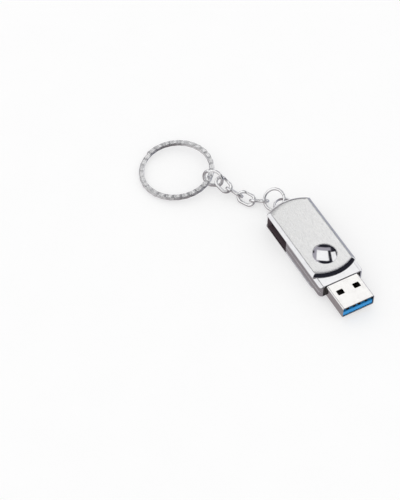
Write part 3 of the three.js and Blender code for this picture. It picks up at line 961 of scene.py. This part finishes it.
@dataclass
class Plug:
    """Stamped steel sleeve with its latch windows, the contact carrier and the contacts in it."""

    wall: float = 0.3 * MM
    corner: float = 0.55 * MM
    window_length: float = 2.0 * MM
    window_width: float = 2.4 * MM
    window_setback: float = 6.4 * MM
    window_spacing: float = 6.1 * MM
    window_corner: float = 0.28 * MM
    dimple_radius: float = 0.45 * MM
    dimple_setback: float = 1.35 * MM
    dimple_sides: int = 28
    dovetail_start: float = 5.6 * MM
    dovetail_end: float = 3.4 * MM
    dovetail_widths: tuple[float, float] = (0.75 * MM, 1.15 * MM)
    block_round: float = 0.12 * MM
    block_overlap: float = 0.3 * MM
    groove_setback: float = 0.35 * MM
    groove_round: float = 0.03 * MM
    contact_rise: float = 0.55 * MM
    seam_width: float = 0.11 * MM
    seam_depth: float = 0.16 * MM
    groove_margin: float = 0.06 * MM
    groove_depth: float = 0.09 * MM
    # Distance from the mouth where the carrier turns black, as painted shade under the latch windows.
    black_shade_setback: float = 4.2 * MM
    # Distance from the mouth where the painted shade inside the sleeve starts.
    painted_shade_setback: float = 4.0 * MM

    def section(self, inset: float) -> np.ndarray:
        """Rounded rectangle across the sleeve, in Y and Z.

        Args:
            inset: How far it is set in.

        Returns:
            Its points, once round.
        """
        low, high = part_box("plug_sleeve")
        corner = max(self.corner - inset, 0.1 * MM)
        across, up = high[1] - inset - corner, (high[2] - low[2]) / 2 - inset - corner
        middle = (low[2] + high[2]) / 2
        quarter = math.pi / 2
        places = ((1, 1), (-1, 1), (-1, -1), (1, -1))
        return np.vstack(
            [
                arc((y * across, middle + z * up), corner, i * quarter, (i + 1) * quarter, 7)
                for i, (y, z) in enumerate(places)
            ]
        )

    def tube(self) -> bpy.types.Mesh:
        """Sleeve with a rounded mouth, before it is cut.

        Returns:
            The mesh.
        """
        low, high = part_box("plug_sleeve")
        rear, mouth = low[0], high[0]
        half_wall = self.wall / 2
        profile = [(half_wall, rear), (0, rear), (0, mouth), (self.wall, mouth), (self.wall, rear)]
        rings = [(self.section(inset), x) for inset, x in soften(profile, 0.13 * MM, 4)]
        mesh = ring_mesh("sleeve", rings, closed=True)
        turn = Matrix(((0, 0, 1, 0), (1, 0, 0, 0), (0, 1, 0, 0), (0, 0, 0, 1)))
        mesh.transform(turn)
        face_out(mesh)
        return mesh

    def rounded_opening(self, x: float, y: float) -> bpy.types.Mesh:
        """Cutter for one latch window, centred at x and y.

        Args:
            x: Where its middle is along the plug.
            y: Where its middle is across the plug.

        Returns:
            The cutter.
        """
        along, across = self.window_length / 2, self.window_width / 2
        corner, quarter = self.window_corner, math.pi / 2
        places = ((1, 1), (-1, 1), (-1, -1), (1, -1))
        outline = np.vstack(
            [
                arc(
                    (x + i * (along - corner), y + j * (across - corner)),
                    corner,
                    k * quarter,
                    (k + 1) * quarter,
                    5,
                )
                for k, (i, j) in enumerate(places)
            ]
        )
        low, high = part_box("plug_sleeve")
        return prism_mesh("window", outline, (low[2] + high[2]) / 2, high[2] + MM)

    def seam(self) -> bpy.types.Mesh:
        """Cutter for the folded sheet's seam under the plug, with one dovetail in it.

        Returns:
            The cutter.
        """
        low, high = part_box("plug_sleeve")
        mouth = high[0]
        start, end = mouth - self.dovetail_start, mouth - self.dovetail_end
        narrow, wide = self.dovetail_widths
        path = np.array(
            [
                (low[0] - MM, 0.0),
                (start, 0.0),
                (start, narrow),
                (end, wide),
                (end, 0.0),
                (mouth + MM, 0.0),
            ]
        )
        half = self.seam_width / 2
        steps = np.diff(path, axis=0)
        steps /= np.linalg.norm(steps, axis=1)[:, None]
        sides = np.column_stack([-steps[:, 1], steps[:, 0]])
        before, after = np.vstack([sides[:1], sides]), np.vstack([sides, sides[-1:]])
        mitre = before + after
        mitre /= (1 + np.sum(before * after, axis=1))[:, None]
        outline = np.vstack([path - half * mitre, (path + half * mitre)[::-1]])
        return prism_mesh("seam", outline, low[2] - MM, low[2] + self.seam_depth)

    def sleeve(self) -> bpy.types.Mesh:
        """Sleeve with windows, dimples and seam, with painted shade on its inside behind the mouth.

        Returns:
            The mesh, in both finishes.
        """
        low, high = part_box("plug_sleeve")
        tools = [self.seam()]
        for side in (-1, 1):
            y = side * self.window_spacing / 2
            tools.append(self.rounded_opening(high[0] - self.window_setback, y))
            centre = (high[0] - self.dimple_setback, y)
            ring = arc(centre, self.dimple_radius, 0, 2 * math.pi, self.dimple_sides)[:-1]
            tools.append(prism_mesh("dimple", ring, low[2] - MM, low[2] + self.wall / 2))
        mesh = combine(self.tube(), "DIFFERENCE", tools)
        mesh.materials.clear()
        mesh.materials.append(PAINTS.get(PLUG_STEEL))
        mesh.materials.append(PAINTS.get(PLUG_INSIDE_SHADE))
        middle = (low[2] + high[2]) / 2
        inner_half = (high[2] - low[2]) / 2 - self.wall
        for face in mesh.polygons:
            x, y, z = face.center
            inside = abs(y) < high[1] - self.wall + SLACK and abs(z - middle) < inner_half + SLACK
            # Inner faces behind that distance get the painted shade.
            face.material_index = 1 if inside and x < high[0] - self.painted_shade_setback else 0
        return mesh

    def carrier(self) -> bpy.types.Mesh:
        """Block that carries the contacts: blue in the mouth, black behind as painted shade under the
        latch windows, grooved for the contacts.

        Returns:
            The mesh, in both finishes.
        """
        low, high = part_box("contact_block")
        black_shade_start = high[0] - self.black_shade_setback
        rear_end = (black_shade_start + self.block_overlap, high[1], high[2])
        block = combine(
            rounded_box((black_shade_start, low[1], low[2]), high, self.block_round),
            "UNION",
            [rounded_box(low, rear_end, self.block_round)],
        )
        margin, depth = self.groove_margin, self.groove_depth
        grooves = []
        for i in range(1, 5):
            strip_low, strip_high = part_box(f"plain_contact_{i}")
            near = (low[0] + MM, strip_low[1] - margin, high[2] - depth)
            far = (high[0] - self.groove_setback, strip_high[1] + margin, high[2] + MM)
            grooves.append(rounded_box(near, far, self.groove_round, 1))
        mesh = combine(block, "DIFFERENCE", grooves)
        mesh.materials.clear()
        mesh.materials.append(PAINTS.get(BLUE))
        mesh.materials.append(PAINTS.get(BLACK))
        for face in mesh.polygons:
            rearmost = min(mesh.vertices[corner].co.x for corner in face.vertices)
            # Faces behind that line are black, as painted shade.
            face.material_index = 1 if rearmost < black_shade_start - SLACK / 2 else 0
        return mesh

    def build(self) -> None:
        """Builds the sleeve, the carrier and the contacts."""
        piece("plug_shell", self.sleeve(), PLUG_STEEL, "drive_body", ["plug_sleeve"])
        piece("contact_carrier", self.carrier(), BLUE, "drive_body", ["contact_block"])
        flat = [f"plain_contact_{i}" for i in range(1, 5)]
        sprung = [f"fast_contact_{i}" for i in range(1, 6)]
        piece("flat_contacts", ContactRow(flat, 0.0).mesh(), GOLD, "drive_body", flat)
        piece("sprung_contacts", ContactRow(sprung, self.contact_rise).mesh(), GOLD, "drive_body", sprung)


class NodeRecipe:
    """Geometry Nodes tree with named inputs that turns into one plain mesh."""

    def __init__(self, name: str, finish: Metal | Moulding) -> None:
        """Starts an empty tree whose result gets the finish.

        Args:
            name: Name of the tree.
            finish: Finish of the result.
        """
        self.finish = finish
        self.group = bpy.data.node_groups.new(name, "GeometryNodeTree")
        self.group.interface.new_socket("Geometry", in_out="INPUT", socket_type="NodeSocketGeometry")
        self.group.interface.new_socket("Geometry", in_out="OUTPUT", socket_type="NodeSocketGeometry")
        self.tree = Tree(self.group)
        self.values: dict[str, float] = {}

    def start(self, sizes: dict[str, float]) -> bpy.types.Node:
        """Adds named sizes to the tree's inputs, and the input node.

        Args:
            sizes: The value of each size.

        Returns:
            The input node.
        """
        for name, value in sizes.items():
            socket = self.group.interface.new_socket(name, in_out="INPUT", socket_type="NodeSocketFloat")
            self.values[socket.identifier] = value
        return self.tree.add("NodeGroupInput")

    def end(self, geometry: bpy.types.NodeSocket) -> None:
        """Ends the tree in Realize Instances and Set Material.

        Args:
            geometry: What the tree has made.
        """
        real = self.tree.add("GeometryNodeRealizeInstances", {"Geometry": geometry})
        dressed = self.tree.add("GeometryNodeSetMaterial", {"Geometry": real.outputs[0]})
        dressed.inputs["Material"].default_value = PAINTS.get(self.finish)
        self.tree.add("NodeGroupOutput", {0: dressed.outputs[0]})

    def make(self, base: bpy.types.Mesh) -> bpy.types.Mesh:
        """Runs the tree on a base mesh.

        Args:
            base: Mesh that the modifier sits on.

        Returns:
            The result as a plain mesh.
        """
        made = put("recipe", base)
        change = made.modifiers.new("recipe", "NODES")
        change.node_group = self.group
        for identifier, value in self.values.items():
            change[identifier] = value
        settle(made)
        mesh = made.data
        bpy.data.objects.remove(made)
        return mesh


@dataclass
class ContactRow:
    """Row of like contacts, one on the place of each of the named nodes."""

    nodes: Sequence[str]
    rise: float
    sheet: float = 0.12 * MM
    cells: tuple[int, int] = (60, 7)
    hump_start: tuple[float, float] = (0.42, 0.62)
    hump_end: tuple[float, float] = (0.78, 0.98)
    taper_start: float = 0.94
    tip_width: float = 0.72

    def mesh(self) -> bpy.types.Mesh:
        """Builds the row.

        Returns:
            One mesh with a strip on each node's place.
        """
        boxes = [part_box(name) for name in self.nodes]
        low, high = boxes[0]
        width, length = high[1] - low[1], high[0] - low[0]
        thickness = min(high[2] - low[2], self.sheet)
        places = bpy.data.meshes.new("places")
        places.from_pydata([(lo[0], (lo[1] + hi[1]) / 2, lo[2]) for lo, hi in boxes], [], [])
        recipe = NodeRecipe("contact_row", GOLD)
        given = recipe.start({"Length": length, "Width": width, "Thickness": thickness, "Rise": self.rise})
        tree = recipe.tree
        grid = {"Size X": given.outputs["Length"], "Size Y": given.outputs["Width"]}
        grid |= {"Vertices X": self.cells[0], "Vertices Y": self.cells[1]}
        strip = tree.add("GeometryNodeMeshGrid", grid)
        place = tree.add("GeometryNodeInputPosition").outputs[0]
        split = tree.add("ShaderNodeSeparateXYZ", {0: place})
        share = tree.math("ADD", tree.math("DIVIDE", split.outputs[0], given.outputs["Length"]), 0.5)
        falling = tree.ramp(share, *self.hump_end, 1, 0)
        hump = tree.math("MULTIPLY", tree.ramp(share, *self.hump_start), falling)
        taper = tree.ramp(share, self.taper_start, 1.0, 1.0, self.tip_width)
        lift = tree.math("MULTIPLY", hump, given.outputs["Rise"])
        half = tree.math("MULTIPLY", given.outputs["Length"], 0.5)
        along = tree.math("ADD", split.outputs[0], half)
        across = tree.math("MULTIPLY", split.outputs[1], taper)
        moved = tree.add("ShaderNodeCombineXYZ", {0: along, 1: across, 2: lift})
        bent = {"Geometry": strip.outputs[0], "Position": moved.outputs[0]}
        shaped = tree.add("GeometryNodeSetPosition", bent)
        raised = {
            "Mesh": shaped.outputs[0],
            "Offset": (0.0, 0.0, 1.0),
            "Offset Scale": given.outputs["Thickness"],
            "Individual": False,
        }
        thick = tree.add("GeometryNodeExtrudeMesh", raised)
        closed = tree.add("GeometryNodeFlipFaces", {"Mesh": shaped.outputs[0]})
        joined = tree.add("GeometryNodeJoinGeometry", {0: thick.outputs[0]})
        tree.tree.links.new(closed.outputs[0], joined.inputs[0])
        merged = tree.add("GeometryNodeMergeByDistance", {"Geometry": joined.outputs[0], "Distance": WELD})
        repeated = {"Points": given.outputs["Geometry"], "Instance": merged.outputs[0]}
        row = tree.add("GeometryNodeInstanceOnPoints", repeated)
        recipe.end(row.outputs[0])
        mesh = recipe.make(places)
        face_out(mesh)
        return mesh


# ---------------------------------------------------------------------------------------------
# Board
# ---------------------------------------------------------------------------------------------


@dataclass
class Electronics:
    """Board, its chips and the plastic frame round them, which keep their frame shapes."""

    finishes: tuple[tuple[str, Metal | Moulding | BoardLacquer], ...] = (
        ("inner_frame", BLACK),
        ("pivot_rivet_lower", CHROME),
        ("circuit_board", LACQUER),
        ("controller_chip", CHIP),
        ("memory_chip", CHIP),
        ("crystal_can", CAN),
        ("capacitor_1", CERAMIC),
        ("capacitor_2", CERAMIC),
        ("capacitor_3", CERAMIC),
        ("resistor_1", CHIP),
        ("resistor_2", CHIP),
    )

    def build(self) -> None:
        """Gives each node its material."""
        for name, finish in self.finishes:
            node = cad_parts[name]
            for slot in node.material_slots:
                slot.material = PAINTS.get(finish)
            log.info("%s: kept, in %s", name, finish.name)


# ---------------------------------------------------------------------------------------------
# Chain
# ---------------------------------------------------------------------------------------------


@dataclass(frozen=True)
class Lie:
    """Where a flat chain piece lies: its centre and its axes."""

    centre: np.ndarray
    along: np.ndarray
    normal: np.ndarray

    @classmethod
    def of(cls, node: str) -> Lie:
        """Finds how a node lies from the spread of its points.

        Args:
            node: Name of the node.

        Returns:
            Its centre, the direction of its length and the direction across its plane.
        """
        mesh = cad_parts[node].data
        points = np.empty(3 * len(mesh.vertices))
        mesh.vertices.foreach_get("co", points)
        points = np.unique(points.reshape(-1, 3).round(8), axis=0)
        centre = points.mean(axis=0)
        axes = np.linalg.svd(points - centre, full_matrices=False)[2]
        return cls(centre, axes[0], axes[2])

    def matrix(self) -> Matrix:
        """Turns a piece that lies in X and Y, with its length along X, into place.

        Returns:
            The transform.
        """
        across = np.cross(self.normal, self.along)
        columns = np.column_stack([self.along, across, self.normal, self.centre])
        return Matrix([*columns.tolist(), [0, 0, 0, 1]])


@dataclass
class Link:
    """Loop of round wire with a closed butt joint in one side."""

    node: str
    wire: float
    opening_length: float
    opening_width: float
    fullness: float = 1.0
    joint_depth: float = 0.22
    joint_reach: tuple[float, float] = (0.2, 1.4)
    unevenness: float = 0.025
    wander_scale: float = 900.0
    points: int = 128
    sides: int = 24

    def mesh(self) -> bpy.types.Mesh:
        """Builds the link where its node lies.

        Returns:
            The mesh.
        """
        recipe = NodeRecipe("wire_link", NICKEL)
        reach = (self.opening_length - self.opening_width) / 2
        bend = (self.opening_width + self.wire) / 2
        sizes = {"Bend": bend, "Reach": reach, "Wire": self.wire / 2, "Joint": self.joint_depth}
        given = recipe.start(sizes)
        tree = recipe.tree
        circle = "GeometryNodeCurvePrimitiveCircle"
        loop = tree.add(circle, {"Resolution": self.points, "Radius": given.outputs["Bend"]})
        place = tree.add("GeometryNodeInputPosition").outputs[0]
        split = tree.add("ShaderNodeSeparateXYZ", {0: place})
        side = tree.math("SIGN", tree.math("SNAP", split.outputs[0], CENTRE_BAND))
        drawn_out = tree.math("MULTIPLY", side, given.outputs["Reach"])
        shift = tree.add("ShaderNodeCombineXYZ", {0: drawn_out})
        moved = {"Geometry": loop.outputs[0], "Offset": shift.outputs[0]}
        drawn = tree.add("GeometryNodeSetPosition", moved)
        number = tree.add("GeometryNodeInputIndex").outputs[0]
        from_joint = tree.math("ABSOLUTE", tree.math("SUBTRACT", number, self.points // 4))
        at_joint = tree.ramp(from_joint, *self.joint_reach, 1, 0)
        pinch = tree.math("MULTIPLY", at_joint, given.outputs["Joint"])
        noise = {"Vector": place, "Scale": self.wander_scale, "Detail": 1.0}
        wander = tree.add("ShaderNodeTexNoise", noise).outputs[0]
        full = tree.ramp(wander, 0.3, 0.7, self.fullness - self.unevenness, self.fullness)
        thick = tree.math("SUBTRACT", full, pinch)
        sized = tree.add("GeometryNodeSetCurveRadius", {"Curve": drawn.outputs[0], "Radius": thick})
        section = tree.add(circle, {"Resolution": self.sides, "Radius": given.outputs["Wire"]})
        swept = {"Curve": sized.outputs[0], "Profile Curve": section.outputs[0], "Scale": thick}
        wire = tree.add("GeometryNodeCurveToMesh", swept)
        recipe.end(wire.outputs[0])
        mesh = recipe.make(bpy.data.meshes.new("link"))
        mesh.transform(Lie.of(self.node).matrix())
        face_out(mesh)
        return mesh


@dataclass
class KeyRing:
    """Split ring of flat wire, nearly two turns, with hammered facets all round."""

    diameter: float = 26.4 * MM
    band: float = 1.8 * MM
    thickness: float = 0.62 * MM
    gap: float = 0.08 * MM
    turns: float = 1.92
    facets_in_turn: int = 28
    facet_depth: float = 0.085 * MM
    steps_in_turn: int = 460
    chamfer_share: float = 0.3
    section_points: int = 40
    upper_blend: float = 0.25
    outer_blend: float = 0.2
    inner_bite: float = 0.45
    flat_bite: float = 0.7

    def mesh(self) -> bpy.types.Mesh:
        """Builds the ring where its node lies.

        Returns:
            The mesh.
        """
        recipe = NodeRecipe("hammered_ring", NICKEL)
        given = recipe.start(
            {
                "Mean Radius": (self.diameter - self.band) / 2,
                "Height": (self.thickness + self.gap) * self.turns,
                "Band": self.band,
                "Thickness": self.thickness,
                "Facet Depth": self.facet_depth,
                "Facets": float(self.facets_in_turn),
            }
        )
        tree = recipe.tree
        resample = "GeometryNodeResampleCurve"
        count = round(self.steps_in_turn * self.turns)
        spine = tree.add("GeometryNodeCurvePrimitiveLine", {"End": (1.0, 0.0, 0.0)})
        wound = tree.add(resample, {"Curve": spine.outputs[0], "Count": count})
        sheet = {"Width": given.outputs["Band"], "Height": given.outputs["Thickness"]}
        section = tree.add("GeometryNodeCurvePrimitiveQuadrilateral", sheet)
        chamfer = {"Curve": section.outputs[0], "Radius": self.thickness * self.chamfer_share, "Count": 3}
        chamfered = tree.add("GeometryNodeFilletCurve", chamfer, mode="POLY")
        cut = tree.add(resample, {"Curve": chamfered.outputs[0], "Count": self.section_points})
        swept = {"Curve": wound.outputs[0], "Profile Curve": cut.outputs[0], "Fill Caps": True}
        bar = tree.add("GeometryNodeCurveToMesh", swept)
        place = tree.add("GeometryNodeInputPosition").outputs[0]
        split = tree.add("ShaderNodeSeparateXYZ", {0: place})
        turned = tree.math("MULTIPLY", split.outputs[0], self.turns)
        turn = tree.math("SUBTRACT", turned, self.turns / 2)
        angle = tree.math("MULTIPLY", turn, 2 * math.pi)
        phase = tree.math("MULTIPLY", angle, tree.math("MULTIPLY", given.outputs["Facets"], 0.5))
        upper_limit, outer_limit = self.thickness * self.upper_blend, self.band * self.outer_blend
        upper = tree.ramp(split.outputs[2], -upper_limit, upper_limit)
        outer = tree.ramp(split.outputs[1], -outer_limit, outer_limit)
        swing = tree.math("ADD", phase, tree.math("MULTIPLY", upper, math.pi / 2))
        wave = tree.math("ABSOLUTE", tree.math("SINE", swing))
        bite = tree.math("MULTIPLY", wave, given.outputs["Facet Depth"])
        inwards = tree.math("MULTIPLY", bite, tree.ramp(outer, 0, 1, -self.inner_bite, 1))
        mean = tree.math("SUBTRACT", given.outputs["Mean Radius"], inwards)
        radius = tree.math("ADD", split.outputs[1], mean)
        flat = tree.math("MULTIPLY", bite, tree.ramp(upper, 0, 1, self.flat_bite, -self.flat_bite))
        climb = tree.math("MULTIPLY", tree.math("DIVIDE", given.outputs["Height"], self.turns), turn)
        lift = tree.math("ADD", tree.math("ADD", split.outputs[2], flat), climb)
        x = tree.math("MULTIPLY", radius, tree.math("COSINE", angle))
        y = tree.math("MULTIPLY", radius, tree.math("SINE", angle))
        bent = tree.add("ShaderNodeCombineXYZ", {0: x, 1: y, 2: lift})
        wrapped = {"Geometry": bar.outputs[0], "Position": bent.outputs[0]}
        ring = tree.add("GeometryNodeSetPosition", wrapped)
        recipe.end(ring.outputs[0])
        mesh = recipe.make(bpy.data.meshes.new("ring"))
        lie = Lie.of("split_ring")
        towards = lie.centre - Lie.of("end_link").centre
        along = towards - np.dot(towards, lie.normal) * lie.normal
        placed = Lie(lie.centre, along / np.linalg.norm(along), lie.normal)
        mesh.transform(placed.matrix())
        face_out(mesh)
        return mesh


@dataclass
class Chain:
    """Jump ring, four small links, the end link and the key ring, each on its own body."""

    def build(self) -> None:
        """Builds the chain from the cover outwards."""
        jump_ring = {"wire": 1.0 * MM, "opening_length": 6.3 * MM, "opening_width": 6.3 * MM}
        small = {"wire": 1.1 * MM, "opening_length": 4.8 * MM, "opening_width": 2.5 * MM}
        large = {"wire": 1.2 * MM, "opening_length": 6.4 * MM, "opening_width": 4.0 * MM}
        links = [Link("jump_ring", **jump_ring, fullness=1.015)]
        links += [Link(name, **small, fullness=1.015) for name in CHAIN_LINKS]
        links.append(Link("end_link", **large, fullness=0.938))
        for link in links:
            piece(f"{link.node}_wire", link.mesh(), NICKEL, link.node, [link.node], crease=60)
        piece("key_ring", KeyRing().mesh(), NICKEL, "split_ring", ["split_ring"], crease=24)


# ---------------------------------------------------------------------------------------------
# Studio
# ---------------------------------------------------------------------------------------------


@dataclass(frozen=True)
class Panel:
    """Rectangle of light or dark in the surroundings, near the softbox.

    Its sides and levels are its limits across and up, as tangents of the angle from the softbox.
    """

    sides: tuple[float, float]
    levels: tuple[float, float]
    colour: Colour


DARK: Colour = (0.02, 0.02, 0.028)
PANELS = (
    Panel((-0.45, 0.20), (0.29, 0.9), DARK),
    Panel((-0.45, -0.17), (0.10, 0.9), DARK),
    Panel((-0.45, -0.285), (-0.25, 0.9), DARK),
    Panel((-0.285, -0.145), (-0.33, 0.10), (1.0, 1.0, 1.0)),
    Panel((-0.155, 0.15), (-0.5, -0.2), DARK),
    Panel((-0.165, -0.05), (-0.4, 0.17), DARK),
    Panel((0.27, 0.33), (0.0, 0.1), DARK),
    Panel((-0.09, 0.205), (-0.265, 0.16), (1.05, 1.05, 1.045)),
)


@dataclass
class Studio:
    """Pale table, soft light all round and the camera."""

    distance: float = 524.0 * MM
    heading: Vector = Vector((0.544, -0.293, 0.786))
    aim_offset: Vector = Vector((-0.13, -18.26, -3.69)) * MM
    lens: float = 112.2
    sensor: float = 36.0
    clip_start: float = 0.01
    table_size: float = 2.0
    table_drop: float = 0.03 * MM
    table_glow: float = 0.5
    box_way: Vector = Vector((-0.5025, 0.361, 0.784))
    box_across: Vector = Vector((0.474, 0.880, 0.0))
    box_surround: Colour = (0.40, 0.385, 0.43)
    room_way: Vector = Vector((0.62, 0.25, 0.74))
    room_edge: tuple[float, float] = (0.60, 0.70)
    room_top: tuple[float, float] = (0.82, 0.88)
    panel_edge: float = 0.012

    def camera(self) -> None:
        """Places the camera."""
        low, high = CAD_BOUNDS
        aim = (Vector(low) + Vector(high)) / 2 + self.aim_offset
        data = bpy.data.cameras.new("camera")
        data.lens, data.sensor_width, data.clip_start = self.lens, self.sensor, self.clip_start
        made = bpy.data.objects.new("camera", data)
        bpy.context.scene.collection.objects.link(made)
        made.location = aim + self.heading.normalized() * self.distance
        made.rotation_euler = self.heading.to_track_quat("Z", "Y").to_euler()
        bpy.context.scene.camera = made

    def table(self) -> None:
        """Lays the pale table top."""
        work = bmesh.new()
        bmesh.ops.create_grid(work, x_segments=8, y_segments=8, size=self.table_size)
        mesh = bpy.data.meshes.new("table_top")
        work.to_mesh(mesh)
        work.free()
        mesh.transform(Matrix.Translation((0, 0, -self.table_drop)))
        material = bpy.data.materials.new("table_paint")
        material.use_nodes = True
        tree = Tree(material.node_tree)
        shader = material.node_tree.nodes["Principled BSDF"]
        place = tree.add("ShaderNodeTexCoord").outputs["Object"]
        mottle = tree.add("ShaderNodeTexNoise", {"Vector": place, "Scale": 60.0, "Detail": 5.0}).outputs[0]
        paint = tree.mix(mottle, (0.52, 0.52, 0.52), (0.54, 0.54, 0.54))
        tree.tree.links.new(paint, shader.inputs["Base Color"])
        shader.inputs["Roughness"].default_value = 0.9
        shader.inputs["Specular IOR Level"].default_value = 0.1
        shader.inputs["Emission Color"].default_value = (1, 1, 1, 1)
        shader.inputs["Emission Strength"].default_value = self.table_glow
        mesh.materials.append(material)
        top = put("table_top", mesh)
        top.visible_glossy = False

    def surroundings(self) -> None:
        """Soft light all round: a white tent, one square softbox and the dark side of the room."""
        world = bpy.data.worlds.new("studio")
        world.use_nodes = True
        bpy.context.scene.world = world
        tree = Tree(world.node_tree)
        backdrop = world.node_tree.nodes["Background"]
        way = tree.add("ShaderNodeTexCoord").outputs["Generated"]
        box = self.box_way.normalized()
        across = self.box_across.normalized()
        up = across.cross(box)
        up = (up if up.z > 0 else -up).normalized()
        across = (up.cross(box) if up.cross(box).dot(across) > 0 else box.cross(up)).normalized()
        ahead = tree.math("MAXIMUM", tree.dot(way, box), 0.05)
        a = tree.math("DIVIDE", tree.dot(way, across), ahead)
        b = tree.math("DIVIDE", tree.dot(way, up), ahead)
        edge = self.panel_edge

        def inside(value: bpy.types.NodeSocket, low: float, high: float) -> bpy.types.NodeSocket:
            """1 between low and high, with soft edges.

            Args:
                value: The value that is compared.
                low: Lower limit.
                high: Upper limit.

            Returns:
                The share, from 0 to 1.
            """
            rise = tree.ramp(value, low - edge, low + edge)
            return tree.math("MULTIPLY", rise, tree.ramp(value, high - edge, high + edge, 1, 0))

        height = tree.dot(way, Vector((0, 0, 1)))
        left = tree.dot(way, Vector((0, 1, 0)))
        below = tree.mix(tree.ramp(left, 0.1, 0.8), (0.29, 0.265, 0.275), (0.40, 0.41, 0.46))
        tent = tree.mix(tree.ramp(height, 0.0, 0.35), (0.62, 0.62, 0.65), (1.0, 1.0, 1.0))
        light = tree.mix(tree.ramp(height, -0.06, 0.04), below, tent)
        room = tree.dot(way, self.room_way.normalized())
        under_top = tree.ramp(height, *self.room_top, 1, 0)
        room_share = tree.math("MULTIPLY", tree.ramp(room, *self.room_edge), under_top)
        light = tree.mix(room_share, light, DARK)
        near_box = tree.dot(way, box)
        light = tree.mix(tree.ramp(near_box, 0.84, 0.88), light, self.box_surround)
        ahead_only = tree.ramp(near_box, 0.75, 0.8)
        for panel in PANELS:
            share = tree.math("MULTIPLY", inside(a, *panel.sides), inside(b, *panel.levels))
            light = tree.mix(tree.math("MULTIPLY", share, ahead_only), light, panel.colour)
        path = tree.add("ShaderNodeLightPath")
        even = tree.mix(path.outputs["Is Diffuse Ray"], light, (0.9, 0.9, 0.9))
        even = tree.mix(path.outputs["Is Camera Ray"], even, (1.0, 1.0, 1.0))
        tree.tree.links.new(even, backdrop.inputs["Color"])
        backdrop.inputs["Strength"].default_value = 1.0

    def build(self) -> None:
        """Builds the studio."""
        self.camera()
        self.table()
        self.surroundings()
        bpy.context.scene.view_settings.view_transform = "Standard"


def main() -> None:
    """Builds the drive from the cover inwards, then the chain and the studio."""
    logging.basicConfig(level=logging.INFO, format="%(name)s %(message)s")
    Cover().build()
    Body().build()
    Plug().build()
    Electronics().build()
    Chain().build()
    Studio().build()


if __name__ == "__main__":
    main()
